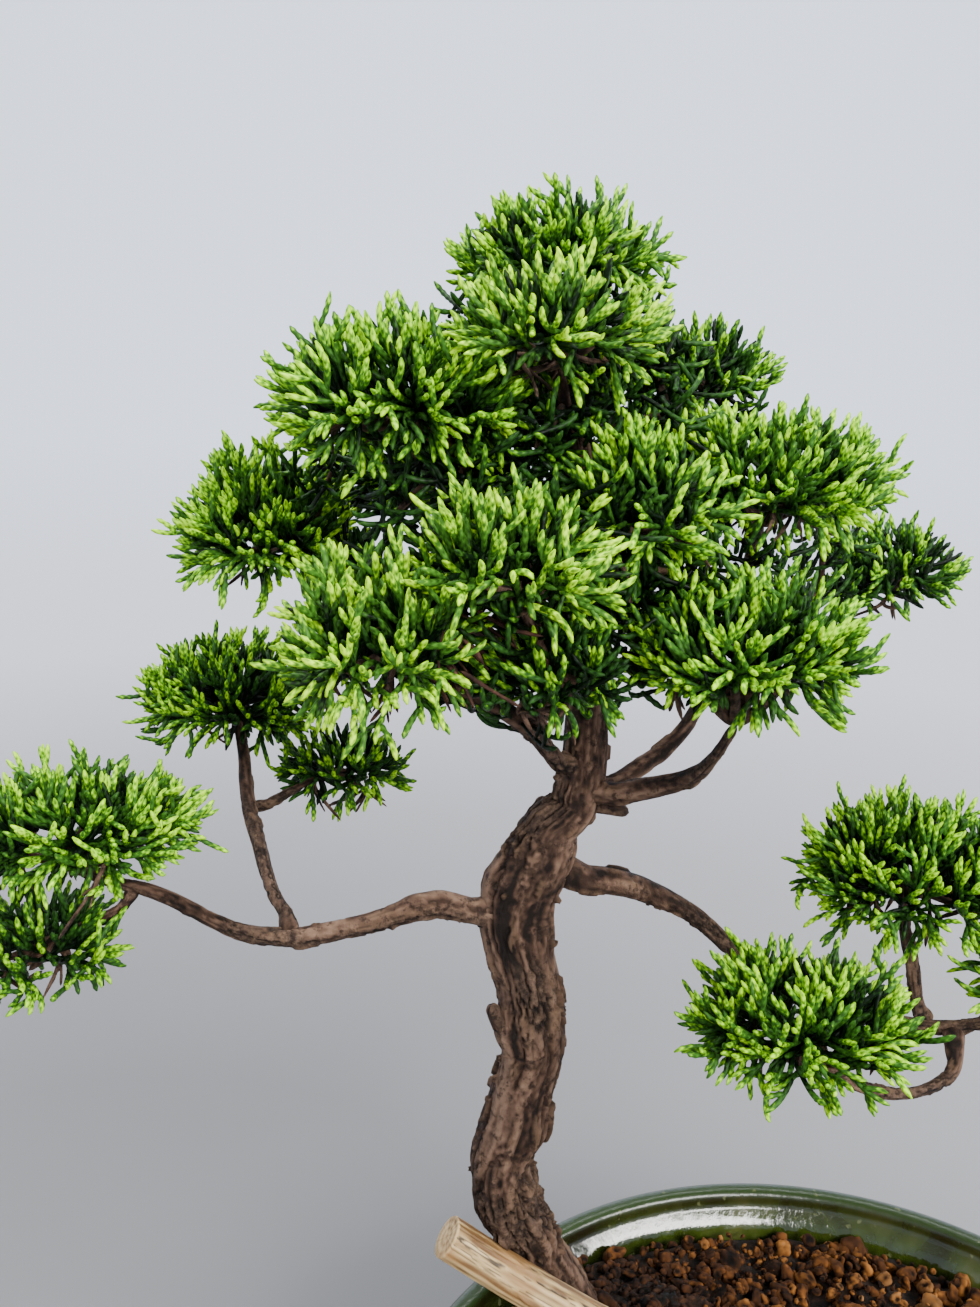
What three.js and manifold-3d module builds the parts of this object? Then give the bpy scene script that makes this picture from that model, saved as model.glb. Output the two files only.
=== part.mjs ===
// A juniper bonsai planted in a round glazed pot.
// Millimetres, +Z up. The origin is the centre of the pot's flat foot, which stands on the ground.
// The tree faces -Y: its trunk stands at the back left of the pot and its crown leans forward.

import * as THREE from 'three';
import { mergeVertices } from 'three/addons/utils/BufferGeometryUtils.js';
import Module from 'manifold-3d';

const wasm = await Module();
wasm.setup();

// ---- Driving dimensions -------------------------------------------------------------------

const gap = 0.35; // left between any two pieces that touch

const turnedSides = 40; // round the pot and the soil
const potDiameter = 190; // over the lip
const potHeight = 80;
const potWall = 6;
const potFloor = 9; // thickness of the floor over the foot
const lipRadius = 3.5; // the lip is a rolled bead
const footDiameter = 104;
const footHeight = 4;
const drainHoles = 3;
const drainHoleDiameter = 12;
const drainCircleDiameter = 48;

const meshSide = 24; // a square of plastic mesh over each drain hole
const meshThickness = 1.2;
const meshBar = 1.6;
const meshOpenings = 3; // along each side

const soilBelowLip = 14; // from the top of the lip down to the edge of the soil
const soilCrown = 5; // how far the middle of the soil stands above its edge
const rootMound = 7.5; // the soil is heaped at the foot of the trunk
const rootMoundWidth = 22;

const treeHeight = 251; // from the soil at the trunk's foot to the top of the crown
const trunkDiameter = 14; // half-way up the lower trunk
const trunkToWall = 14; // trunk's centre to the inside of the pot, where it leaves the soil
const trunkDirection = 128.4; // degrees round the pot from +X
const trunkSides = 10;
const branchSides = 7;
const stepsPerSpan = 2; // rings between two points of a route

const stickDiameter = 9;
const foliageLump = 0.07; // how far a cluster's outline swells and narrows, as a share of its radius
const foliageUnderside = 0.75; // the underside is flatter than the top

// ---- Solids and meshes --------------------------------------------------------------------

// A closed geometry as a solid that can be joined and cut.
function solidOf(geometry) {
  const bare = geometry.clone();
  bare.deleteAttribute('normal');
  bare.deleteAttribute('uv');
  const merged = mergeVertices(bare);
  const corners = merged.index.array;
  const triangles = [];
  for (let i = 0; i < corners.length; i += 3) {
    const [a, b, c] = corners.slice(i, i + 3);
    if (a !== b && b !== c && c !== a) {
      triangles.push(a, b, c);
    }
  }
  const triVerts = new Uint32Array(triangles);
  const vertProperties = new Float32Array(merged.attributes.position.array);
  return new wasm.Manifold(new wasm.Mesh({ numProp: 3, vertProperties, triVerts }));
}

function geometryOf(solid) {
  const { vertProperties, triVerts } = solid.getMesh();
  const geometry = new THREE.BufferGeometry();
  geometry.setAttribute('position', new THREE.BufferAttribute(vertProperties, 3));
  geometry.setIndex(new THREE.BufferAttribute(triVerts, 1));
  geometry.computeVertexNormals();
  return geometry;
}

const bonsai = new THREE.Group();

function addPiece(name, geometry, material) {
  const piece = new THREE.Mesh(geometry, material);
  piece.name = name;
  bonsai.add(piece);
}

// A closed profile of (radius, height) points turned about the Z axis.
function turned(profile, segments) {
  return new THREE.LatheGeometry(profile, segments).rotateX(Math.PI / 2);
}

// ---- Pot ----------------------------------------------------------------------------------

const glaze = new THREE.MeshStandardMaterial({ color: 0x4c5c24, roughness: 0.15, metalness: 0 });

const lipCentreRadius = potDiameter / 2 - lipRadius;
const lipCentreHeight = potHeight - lipRadius;
const floorRadius = footDiameter / 2 - potWall;
const bowlDepth = lipCentreHeight - potFloor;

// The inside of the bowl, from the edge of its flat floor up to the bead of the lip.
const insideWall = new THREE.CubicBezierCurve(
  new THREE.Vector2(floorRadius, potFloor),
  new THREE.Vector2(lipCentreRadius - 3 * potWall, potFloor),
  new THREE.Vector2(lipCentreRadius - potWall, potFloor + bowlDepth / 2),
  new THREE.Vector2(lipCentreRadius - lipRadius, lipCentreHeight),
).getPoints(7);

// The outside is the same sweep, a wall's thickness further out.
const outsideWall = new THREE.CubicBezierCurve(
  new THREE.Vector2(footDiameter / 2 + 2, footHeight),
  new THREE.Vector2(lipCentreRadius - 2 * potWall, footHeight),
  new THREE.Vector2(lipCentreRadius, footHeight + bowlDepth / 2),
  new THREE.Vector2(lipCentreRadius + lipRadius / 2, lipCentreHeight - lipRadius),
).getPoints(7);

const lip = new THREE.EllipseCurve(
  lipCentreRadius, lipCentreHeight, lipRadius, lipRadius, -Math.PI / 6, Math.PI * 0.95,
).getPoints(6);

const potProfile = [
  new THREE.Vector2(0, 0),
  new THREE.Vector2(footDiameter / 2, 0),
  new THREE.Vector2(footDiameter / 2, footHeight),
  ...outsideWall,
  ...lip,
  ...insideWall.toReversed(),
  new THREE.Vector2(0, potFloor),
];

let pot = solidOf(turned(potProfile, turnedSides));
const drainPlaces = [];
for (let i = 0; i < drainHoles; i++) {
  const angle = (i / drainHoles) * 2 * Math.PI;
  const x = (drainCircleDiameter / 2) * Math.cos(angle);
  const y = (drainCircleDiameter / 2) * Math.sin(angle);
  drainPlaces.push({ x, y, angle });
  const bore = new THREE.CylinderGeometry(drainHoleDiameter / 2, drainHoleDiameter / 2, 4 * potFloor, 16);
  pot = pot.subtract(solidOf(bore.rotateX(Math.PI / 2).translate(x, y, 0)));
}
addPiece('pot', geometryOf(pot), glaze);

// ---- Drainage mesh over each hole ---------------------------------------------------------

const meshPlastic = new THREE.MeshStandardMaterial({ color: 0x26282a, roughness: 0.6, metalness: 0 });

// Bars both ways, welded where they cross.
function drainageMesh() {
  const pitch = (meshSide - meshBar) / meshOpenings;
  const bars = [];
  for (let i = 0; i <= meshOpenings; i++) {
    const bar = new THREE.BoxGeometry(meshSide, meshBar, meshThickness);
    bar.translate(0, (i - meshOpenings / 2) * pitch, meshThickness / 2);
    bars.push(solidOf(bar), solidOf(bar.clone().rotateZ(Math.PI / 2)));
  }
  return geometryOf(bars.reduce((welded, bar) => welded.add(bar)));
}

drainPlaces.forEach(({ x, y, angle }, i) => {
  const geometry = drainageMesh().rotateZ(angle).translate(x, y, potFloor + gap);
  addPiece(`drain_mesh_${i + 1}`, geometry, meshPlastic);
});

// ---- Surface of the soil, which places the tree -------------------------------------------

function insideRadius(height) {
  const above = insideWall.findIndex((point) => point.y > height);
  const low = insideWall[above - 1];
  const high = insideWall[above];
  return low.x + ((high.x - low.x) * (height - low.y)) / (high.y - low.y);
}

const soilEdgeHeight = potHeight - soilBelowLip;
const soilRadius = insideRadius(soilEdgeHeight) - gap;
const direction = THREE.MathUtils.degToRad(trunkDirection);
const footX = (insideRadius(soilEdgeHeight) - trunkToWall) * Math.cos(direction);
const footY = (insideRadius(soilEdgeHeight) - trunkToWall) * Math.sin(direction);

function soilTop(x, y) {
  const fromCentre = Math.hypot(x, y) / soilRadius;
  const fromTrunk = Math.hypot(x - footX, y - footY) / rootMoundWidth;
  return soilEdgeHeight + soilCrown * (1 - fromCentre ** 2) + rootMound * Math.exp(-(fromTrunk ** 2));
}

// ---- Wood ---------------------------------------------------------------------------------

const bark = new THREE.MeshStandardMaterial({ color: 0x5f463e, roughness: 0.85, metalness: 0 });
const bleached = new THREE.MeshStandardMaterial({ color: 0xc8af87, roughness: 0.7, metalness: 0 });

// Routes are drawn for a tree of this height and trunk, from the point where the trunk leaves
// the soil. Each point is x, y, z and the wood's radius there.
const drawnHeight = 251;
const drawnTrunk = 14;
const foot = new THREE.Vector3(footX, footY, soilTop(footX, footY));

const growth = treeHeight / drawnHeight;

function fromFoot(x, y, z) {
  return new THREE.Vector3(x, y, z).multiplyScalar(growth).add(foot);
}

// A closed tapered tube along a smooth curve through the points of a route. `extra` makes it
// thicker and longer, to cut the clearance that its neighbours keep.
function stemGeometry(route, sides, extra = 0) {
  const path = new THREE.CatmullRomCurve3(route.map(([x, y, z]) => fromFoot(x, y, z)));
  const steps = stepsPerSpan * (route.length - 1);
  const frames = path.computeFrenetFrames(steps);
  const tube = new THREE.CylinderGeometry(1, 1, 1, sides, steps);
  const corners = tube.attributes.position;
  for (let i = 0; i < corners.count; i++) {
    const along = THREE.MathUtils.clamp(corners.getY(i) + 0.5, 0, 1);
    const step = Math.round(along * steps);
    const place = path.getUtoTmapping(along) * (route.length - 1);
    const before = Math.min(Math.floor(place), route.length - 2);
    const drawnRadius = THREE.MathUtils.lerp(route[before][3], route[before + 1][3], place - before);
    const radius = (drawnRadius * trunkDiameter) / drawnTrunk + extra;
    const corner = path.getPointAt(along)
      .addScaledVector(frames.normals[step], corners.getX(i) * radius)
      .addScaledVector(frames.binormals[step], -corners.getZ(i) * radius);
    if (step === 0) {
      corner.addScaledVector(frames.tangents[0], -extra);
    }
    if (step === steps) {
      corner.addScaledVector(frames.tangents[steps], extra);
    }
    corners.setXYZ(i, corner.x, corner.y, corner.z);
  }
  return tube;
}

const trunkRoute = [
  [4, 1, -24, 9], [2.5, 0, -12, 9.4], [0, -1, 0, 8.6], [-6, -3, 14, 7.4], [-11, -6, 27, 7],
  [-16, -8, 40, 6.8], [-18, -10, 54, 6.9], [-18, -11, 65, 7.1], [-16, -11, 76, 6.6],
  [-14, -10, 87, 6.5], [-14, -9, 98, 6.7], [-16, -7, 106, 6.8], [-14, -5, 114, 7.3],
  [-10, -5, 123, 6.7], [-6, -5, 132, 5.4], [-4, -6, 141, 4.6], [-4, -6, 151, 4.2],
  [-4, -7, 164, 3.6], [-3, -8, 178, 3], [-4, -8, 190, 2.5], [-6, -7, 201, 2.1],
  [-8, -5, 210, 1.7], [-9, -2, 220, 1.4], [-9, 2, 231, 1],
];
const brokenStub = [[-17, -11, 77, 1.6], [-21, -12, 82, 1.5], [-23.5, -12.5, 88, 1.3]];
const spurStub = [[-4, -5, 131, 1.4], [4, -5, 130, 1.1]];

// What each later piece has to stay clear of: the earlier ones, thickened by the gap.
const woodClearance = [];

function clearOf(solid, neighbours) {
  return neighbours.reduce((rest, neighbour) => rest.subtract(neighbour), solid);
}

function joinedStems(routes, sides, extra) {
  const [first, ...others] = routes.map((route) => solidOf(stemGeometry(route, sides, extra)));
  return others.reduce((whole, part) => whole.add(part), first);
}

function addWood(name, routes, sides, material) {
  const wood = clearOf(joinedStems(routes, sides, 0), woodClearance);
  addPiece(name, geometryOf(wood), material);
  woodClearance.push(joinedStems(routes, sides, gap));
}

addWood('trunk', [trunkRoute, brokenStub, spurStub], trunkSides, bark);

// The thick root that runs over the soil from the foot of the trunk.
const rootRoute = [[2, 2, -3, 6], [10, 5, -1, 5.2], [20, 6, -2, 4.4], [30, 5, -4, 3.6], [40, 2, -9, 2.4]];
addWood('surface_root', [rootRoute], branchSides, bark);

const branches = {
  first_left_branch: [
    [-20, -7, 107, 3], [-27, -8, 109, 2.8], [-35, -10, 112, 3.3], [-44, -11, 109, 2.2],
    [-53, -11, 107, 2], [-62, -11, 105, 2.1], [-74, -12, 107, 1.7], [-82, -13, 112, 1.5],
    [-90, -14, 117, 1.3], [-99, -15, 120, 1.1], [-108, -16, 126, 0.9],
  ],
  low_left_twig: [[-90, -14, 117, 1.1], [-99, -18, 113, 1], [-108, -22, 111, 0.8]],
  left_riser: [
    [-62, -10, 105, 1.9], [-68, -4, 111, 1.7], [-72, 4, 118, 1.6], [-76, 12, 125, 1.5],
    [-78, 20, 133, 1.3], [-81, 27, 141, 1.1],
  ],
  left_riser_twig: [[-75, 10, 123, 1], [-67, 19, 125, 0.9], [-60, 26, 127, 0.8]],
  first_right_branch: [
    [-8, -5, 115, 3], [3, -2, 113, 2.7], [12, 0, 109, 2.5], [21, 0, 104, 2.3], [28, -1, 97, 2.1],
    [40, -4, 89, 1.9], [54, -8, 86, 1.7], [68, -12, 85, 1.5], [79, -15, 88, 1.3],
    [88, -13, 95, 1],
  ],
  right_riser: [[66, -11, 86, 1.4], [66, -6, 95, 1.3], [65, 0, 105, 1.1], [66, 2, 113, 0.9]],
  right_return: [
    [74, -15, 84, 1.2], [71, -20, 81, 1.3], [66, -24, 80, 1.3], [59, -27, 80, 1.2],
    [48, -32, 85, 1.1], [38, -35, 93, 0.9],
  ],
  right_middle_branch: [
    [-2, -8, 134, 2], [7, -13, 138, 1.9], [14, -20, 143, 1.6], [18, -26, 150, 1.3],
    [21, -30, 159, 1],
  ],
  right_back_branch: [
    [-3, -4, 132, 2], [7, 4, 135, 1.9], [16, 10, 139, 1.7], [22, 14, 146, 1.5],
    [27, 16, 160, 1.3], [30, 12, 175, 1.1], [30, 0, 191, 0.9],
  ],
  far_right_branch: [[27, 16, 160, 1.1], [46, 26, 167, 1], [64, 33, 171, 0.8]],
  front_left_branch: [
    [-6, -8, 137, 1.9], [-11, -13, 145, 1.8], [-16, -19, 153, 1.6], [-24, -28, 161, 1.4],
    [-32, -37, 168, 1.2], [-39, -43, 174, 0.9],
  ],
  front_branch: [[-15, -18, 151, 1.3], [-13, -27, 161, 1.2], [-14, -35, 171, 1.1], [-19, -42, 183, 0.9]],
  left_middle_branch: [
    [-6, -5, 153, 1.8], [-20, 0, 163, 1.6], [-36, 6, 171, 1.5], [-52, 11, 177, 1.3],
    [-66, 14, 184, 0.9],
  ],
  upper_left_branch: [[-4, -8, 175, 1.6], [-14, -13, 187, 1.4], [-25, -17, 199, 1.2], [-35, -20, 210, 0.9]],
  crown_front_branch: [[-7, -8, 199, 1.2], [-9, -14, 208, 1.1], [-12, -20, 220, 0.9]],
  upper_right_branch: [[-3, -6, 185, 1.5], [6, 6, 195, 1.3], [14, 18, 206, 1.1], [19, 25, 215, 0.9]],
  upper_back_branch: [[-5, -6, 194, 1.2], [-8, 6, 200, 1.1], [-12, 20, 208, 1], [-15, 30, 216, 0.9]],
  inner_right_branch: [[-3, -9, 169, 1.4], [1, -18, 179, 1.2], [3, -28, 191, 0.9]],
  back_left_branch: [[-5, -4, 159, 1.6], [-14, 10, 171, 1.4], [-27, 24, 183, 1.2], [-37, 33, 191, 0.9]],
  back_right_branch: [[-3, -5, 154, 1.6], [-1, 14, 162, 1.4], [0, 30, 171, 1.2], [1, 40, 178, 0.9]],
};

for (const [name, route] of Object.entries(branches)) {
  addWood(name, [route], branchSides, bark);
}

// A bleached cut stick that leans on the front of the trunk's foot, with its lower end in the
// soil. Its depth follows the trunk's middle and radius where the two cross.
const stickRadius = (stickDiameter / 2) * (drawnTrunk / trunkDiameter);
const crossingDepth = -4.9;
const crossingRadius = 7.2 * (trunkDiameter / drawnTrunk);
const stickDepth = crossingDepth - (crossingRadius + stickDiameter / 2 + gap) / growth;
const stickLine = [[-32, 37], [-19, 27], [-6, 18], [10, 7], [24, -5], [32, -13]];
const stickRoute = stickLine.map(([x, z]) => [x, stickDepth, z, stickRadius]);
addWood('deadwood_stick', [stickRoute], branchSides + 2, bleached);

// ---- Soil ---------------------------------------------------------------------------------

const clay = new THREE.MeshStandardMaterial({ color: 0x8c5028, roughness: 1, metalness: 0 });

const soilBottom = potFloor + gap + meshThickness + gap;
const soilSide = insideWall
  .filter((point) => point.y > soilBottom && point.y < soilEdgeHeight)
  .map((point) => new THREE.Vector2(point.x - 2 * gap, point.y));
const topRings = [0.85, 0.68, 0.5, 0.3, 0.12].map((share) => (
  new THREE.Vector2(soilRadius * share, soilEdgeHeight)
));

const soilGeometry = turned([
  new THREE.Vector2(0, soilBottom),
  new THREE.Vector2(insideRadius(soilBottom) - 2 * gap, soilBottom),
  ...soilSide,
  new THREE.Vector2(soilRadius, soilEdgeHeight),
  ...topRings,
  new THREE.Vector2(0, soilEdgeHeight),
], turnedSides);
const soilCorners = soilGeometry.attributes.position;
for (let i = 0; i < soilCorners.count; i++) {
  if (soilCorners.getZ(i) > soilEdgeHeight - gap) {
    soilCorners.setZ(i, soilTop(soilCorners.getX(i), soilCorners.getY(i)));
  }
}
addPiece('soil', geometryOf(clearOf(solidOf(soilGeometry), woodClearance)), clay);

// ---- Foliage ------------------------------------------------------------------------------

// Each cluster of shoots is one soft domed solid on the end of its branch: the place of its
// middle from the trunk's foot, its half width, depth and height, and its green.
const clusters = {
  foliage_crown_front: [[-12, -22, 223], [19, 15, 13], 0x7fae2e],
  foliage_crown_back: [[-11, 10, 237], [20, 19, 14], 0x6a9a2c],
  foliage_centre_front: [[-20, -41, 188], [17, 16, 14], 0x8ab83a],
  foliage_left_front: [[-41, -42, 175], [16, 18, 19], 0x8fbe3c],
  foliage_upper_left: [[-37, -18, 212], [23, 20, 18], 0x5f9430],
  foliage_right_inner: [[4, -30, 195], [12, 12, 16], 0x3f7a35],
  foliage_right_middle: [[22, -26, 170], [22, 20, 17], 0x4f8a34],
  foliage_centre_low: [[-12, -33, 167], [11, 11, 9], 0x447f33],
  foliage_right_upper: [[28, -4, 197], [23, 21, 16], 0x4a8534],
  foliage_upper_right: [[20, 26, 216], [16, 15, 11], 0x3a6e30],
  foliage_far_right: [[69, 34, 172], [15, 15, 13], 0x477c38],
  foliage_left_middle: [[-68, 14, 185], [18, 21, 20], 0x4c8733],
  foliage_back_left: [[-38, 38, 196], [20, 18, 16], 0x37692e],
  foliage_back_right: [[1, 42, 180], [22, 18, 16], 0x37692e],
  foliage_back_upper: [[-15, 33, 218], [17, 14, 12], 0x37692e],
  foliage_left_back: [[-84, 32, 143], [22, 20, 16], 0x3f7431],
  foliage_left_back_inner: [[-57, 28, 127], [15, 12, 8], 0x2f5c2c],
  foliage_left_low: [[-101, -18, 133], [26, 20, 13], 0x6da035],
  foliage_left_droop: [[-109, -22, 110], [16, 15, 11], 0x3d7034],
  foliage_right_low_front: [[34, -34, 102], [22, 18, 14], 0x66a033],
  foliage_right_low_back: [[67, 4, 113], [25, 20, 19], 0x4d8532],
  foliage_right_low_outer: [[92, -12, 95], [17, 16, 14], 0x568e33],
};

function clusterGeometry([x, y, z], [width, depth, height], turn, extra = 0) {
  const dome = new THREE.SphereGeometry(1, 12, 8).rotateX(Math.PI / 2);
  const middle = fromFoot(x, y, z);
  const corners = dome.attributes.position;
  for (let i = 0; i < corners.count; i++) {
    const corner = new THREE.Vector3().fromBufferAttribute(corners, i);
    const around = Math.atan2(corner.y, corner.x);
    const lump = 1 + foliageLump * Math.sin(3 * around + turn) * Math.hypot(corner.x, corner.y);
    const up = corner.z < 0 ? foliageUnderside : 1;
    corners.setXYZ(
      i,
      middle.x + corner.x * lump * (width * growth + extra),
      middle.y + corner.y * lump * (depth * growth + extra),
      middle.z + corner.z * up * (height * growth + extra / foliageUnderside),
    );
  }
  return dome;
}

const foliageClearance = [];
Object.entries(clusters).forEach(([name, [middle, size, color]], i) => {
  const green = new THREE.MeshStandardMaterial({ color, roughness: 0.8, metalness: 0 });
  const cluster = solidOf(clusterGeometry(middle, size, i));
  const clear = clearOf(clearOf(cluster, woodClearance), foliageClearance);
  addPiece(name, geometryOf(clear), green);
  foliageClearance.push(solidOf(clusterGeometry(middle, size, i, 2 * gap)));
});

export default bonsai;
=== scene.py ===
import math
import bpy
import numpy as np
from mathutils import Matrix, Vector


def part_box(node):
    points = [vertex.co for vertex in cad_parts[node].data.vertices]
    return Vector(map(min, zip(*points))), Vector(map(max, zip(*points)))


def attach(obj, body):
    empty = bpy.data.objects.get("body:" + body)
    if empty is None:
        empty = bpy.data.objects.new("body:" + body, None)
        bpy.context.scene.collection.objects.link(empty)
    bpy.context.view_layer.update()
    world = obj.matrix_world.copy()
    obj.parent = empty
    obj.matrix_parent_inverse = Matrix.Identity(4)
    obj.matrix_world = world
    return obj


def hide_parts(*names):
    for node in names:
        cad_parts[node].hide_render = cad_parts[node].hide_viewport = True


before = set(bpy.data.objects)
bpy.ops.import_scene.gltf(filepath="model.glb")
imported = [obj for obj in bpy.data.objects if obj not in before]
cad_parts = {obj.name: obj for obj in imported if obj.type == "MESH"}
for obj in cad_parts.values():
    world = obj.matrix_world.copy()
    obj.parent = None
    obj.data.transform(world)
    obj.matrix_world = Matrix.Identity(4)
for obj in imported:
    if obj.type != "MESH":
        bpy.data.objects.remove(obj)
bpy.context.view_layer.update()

MM = 0.001


# ---- Camera -------------------------------------------------------------------------------
# It stands in front and a little to the left of the pot, above the lip, and looks gently down
# on the crown. Its height over the lip is worked out from the lip's radius.

pot_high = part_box("pot")[1]
lip_radius = pot_high.x
lip_to_rise = 0.445  # the lip's radius as a share of the camera's height over it
camera_tilt = 14.9  # degrees below the level
camera_rise = lip_radius / lip_to_rise
camera_data = bpy.data.cameras.new("viewing_camera")
camera_data.lens = 30.3
camera_data.sensor_width = 36
camera_data.clip_start = 0.01
camera = bpy.data.objects.new("viewing_camera", camera_data)
camera.location = (-0.319 * camera_rise, -0.729 * camera_rise, pot_high.z + camera_rise)
camera.rotation_euler = (math.radians(90 - camera_tilt), 0, 0)
bpy.context.scene.collection.objects.link(camera)
bpy.context.scene.camera = camera


# ---- Pot ----------------------------------------------------------------------------------
# A thrown stoneware bowl with a rolled lip and a flat trimmed foot, fired in one piece. The
# glaze is a glossy olive that breaks to dark brown at the lip; the foot is left bare.

def start_material(name, **constants):
    """A new material, its node tree and its shader, with constant values on the shader itself."""
    material = bpy.data.materials.new(name)
    material.use_nodes = True
    tree = material.node_tree
    shader = tree.nodes["Principled BSDF"]
    for socket, value in constants.items():
        shader.inputs[socket.replace("_", " ")].default_value = value
    return material, tree, shader


def node(tree, kind, inputs=None, **settings):
    """A shader node with its settings, and its inputs set to a value or joined to a socket."""
    made = tree.nodes.new(kind)
    for key, value in settings.items():
        setattr(made, key, value)
    for key, value in (inputs or {}).items():
        if isinstance(value, bpy.types.NodeSocket):
            tree.links.new(value, made.inputs[key])
        else:
            made.inputs[key].default_value = value
    return made


def object_place(tree):
    """Where a point lies in the piece's own space."""
    return node(tree, "ShaderNodeTexCoord").outputs["Object"]


def ramp(tree, factor, stops):
    """A colour ramp through (place, colour) stops; a single number stands for a grey."""
    made = node(tree, "ShaderNodeValToRGB", {"Fac": factor})
    elements = made.color_ramp.elements
    while len(elements) < len(stops):
        elements.new(0.5)
    for element, (place, colour) in zip(elements, stops):
        element.position = place
        rgb = (colour,) * 3 if isinstance(colour, (int, float)) else colour
        element.color = (*rgb, 1)
    return made.outputs["Color"]


def mix(tree, factor, first, second, blend="MIX"):
    """Two colours mixed by a factor."""
    made = node(tree, "ShaderNodeMix", data_type="RGBA", blend_type=blend)
    for key, value in ((0, factor), (6, first), (7, second)):
        if isinstance(value, bpy.types.NodeSocket):
            tree.links.new(value, made.inputs[key])
        elif key == 0:
            made.inputs[key].default_value = value
        else:
            made.inputs[key].default_value = (*value, 1)
    return made.outputs[2]


def noise(tree, place, scale, detail=4.0, roughness=0.55, distortion=0.0):
    """A cloudy mask from 0 to 1; the scale is in cells to the metre."""
    return node(tree, "ShaderNodeTexNoise", {
        "Vector": place, "Scale": scale, "Detail": detail, "Roughness": roughness,
        "Distortion": distortion,
    }).outputs["Fac"]


def map_range(tree, value, **limits):
    """A value carried from one range to another; limits are named as on the node."""
    inputs = {key.replace("_", " "): limit for key, limit in limits.items()}
    return node(tree, "ShaderNodeMapRange", {"Value": value, **inputs}).outputs["Result"]


def bump(tree, shader, height, distance, strength):
    """Small relief on a surface, from a mask and a depth in metres."""
    inputs = {"Height": height, "Distance": distance, "Strength": strength}
    made = node(tree, "ShaderNodeBump", inputs)
    tree.links.new(made.outputs["Normal"], shader.inputs["Normal"])


def box_middle(name):
    """The middle of a CAD node's box."""
    return sum(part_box(name), Vector()) / 2


def add_piece(name, points, quads, triangles, material, nodes=()):
    """A mesh piece from point and face arrays, in metres, that rides with the pot."""
    mesh = bpy.data.meshes.new(name)
    quads = np.asarray(quads, np.int32).reshape(-1, 4)
    triangles = np.asarray(triangles, np.int32).reshape(-1, 3)
    corners = np.concatenate([quads.ravel(), triangles.ravel()])
    sizes = np.repeat([4, 3], [len(quads), len(triangles)]).astype(np.int32)
    starts = np.concatenate([[0], np.cumsum(sizes)[:-1]]).astype(np.int32)
    mesh.vertices.add(len(points))
    mesh.vertices.foreach_set("co", np.asarray(points, np.float32).ravel())
    mesh.loops.add(len(corners))
    mesh.loops.foreach_set("vertex_index", corners)
    mesh.polygons.add(len(sizes))
    mesh.polygons.foreach_set("loop_start", starts)
    mesh.polygons.foreach_set("loop_total", sizes)
    mesh.polygons.foreach_set("use_smooth", np.full(len(sizes), True))
    mesh.update(calc_edges=True)
    mesh.materials.append(material)
    piece = bpy.data.objects.new(name, mesh)
    bpy.context.scene.collection.objects.link(piece)
    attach(piece, "root")
    if nodes:
        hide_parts(*nodes)
    return piece


def set_uv(piece, uv_of_point):
    """One UV for each point, in the map named OFBake."""
    mesh = piece.data
    corner_points = np.zeros(len(mesh.loops), np.int32)
    mesh.loops.foreach_get("vertex_index", corner_points)
    layer = mesh.uv_layers.new(name="OFBake")
    layer.data.foreach_set("uv", np.asarray(uv_of_point, np.float32)[corner_points].ravel())


def set_mask(piece, name, values):
    """A number on each point, for the material to read."""
    attribute = piece.data.attributes.new(name, "FLOAT", "POINT")
    attribute.data.foreach_set("value", np.asarray(values, np.float32))


def smooth_curve(points, spacing, passes=2):
    """Points at an even spacing along a polyline whose corners are rounded."""
    points = np.asarray(points, float)
    for _ in range(passes):
        near = points[:-1] * 0.75 + points[1:] * 0.25
        far = points[:-1] * 0.25 + points[1:] * 0.75
        inner = np.stack([near, far], 1).reshape(-1, points.shape[1])
        points = np.concatenate([points[:1], inner[1:-1], points[-1:]])
    lengths = np.linalg.norm(np.diff(points[:, :3], axis=0), axis=1)
    along = np.concatenate([[0], np.cumsum(lengths)])
    count = max(3, int(round(along[-1] / spacing)) + 1)
    places = np.linspace(0, along[-1], count)
    return np.stack([np.interp(places, along, column) for column in points.T], 1)


def ring_faces(rings, sides):
    """Quads between neighbouring rings of points."""
    ring = np.arange(rings - 1)[:, None] * sides
    above = ring + sides
    side = np.arange(sides)[None, :]
    following = (side + 1) % sides
    quads = np.stack([ring + side, ring + following, above + following, above + side], -1)
    return quads.reshape(-1, 4)


def closing_fans(rings, sides):
    """Triangles from the first and the last ring to two hub points that follow the rings."""
    side = np.arange(sides)
    following = (side + 1) % sides
    last = (rings - 1) * sides
    first_fan = np.stack([np.full(sides, rings * sides), following, side], 1)
    last_fan = np.stack([np.full(sides, rings * sides + 1), last + side, last + following], 1)
    return np.concatenate([first_fan, last_fan])


def turned_points(radius, height, turn):
    """Rings of points, each ring at one height."""
    heights = np.repeat(height, len(turn), 1)
    return np.stack([radius * np.cos(turn), radius * np.sin(turn), heights], -1).reshape(-1, 3)


glossy, worn = 0.09, 0.26  # roughness of the body's glaze, and of the lip's
coat = 0.6
glaze, tree, shader = start_material("olive_glaze", Roughness=glossy, Coat_Weight=coat,
                                     Coat_Roughness=0.04)
place = object_place(tree)
height = node(tree, "ShaderNodeSeparateXYZ", {"Vector": place}).outputs["Z"]
streaks = node(tree, "ShaderNodeMapping", {"Vector": place, "Scale": (1, 1, 0.35)}).outputs["Vector"]
pooled = noise(tree, streaks, 42, 6, 0.62, 0.4)
cloud = noise(tree, place, 18, 3)
body_colour = ramp(tree, pooled, [
    (0.30, (0.006, 0.006, 0.002)), (0.44, (0.014, 0.021, 0.003)), (0.56, (0.030, 0.046, 0.006)),
    (0.72, (0.075, 0.080, 0.022)),
])
broken = map_range(tree, height, From_Min=pot_high.z - 6.5 * MM, From_Max=pot_high.z - 2.2 * MM)
breaking = node(tree, "ShaderNodeMath", {0: broken, 1: cloud}, operation="MULTIPLY").outputs[0]
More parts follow.
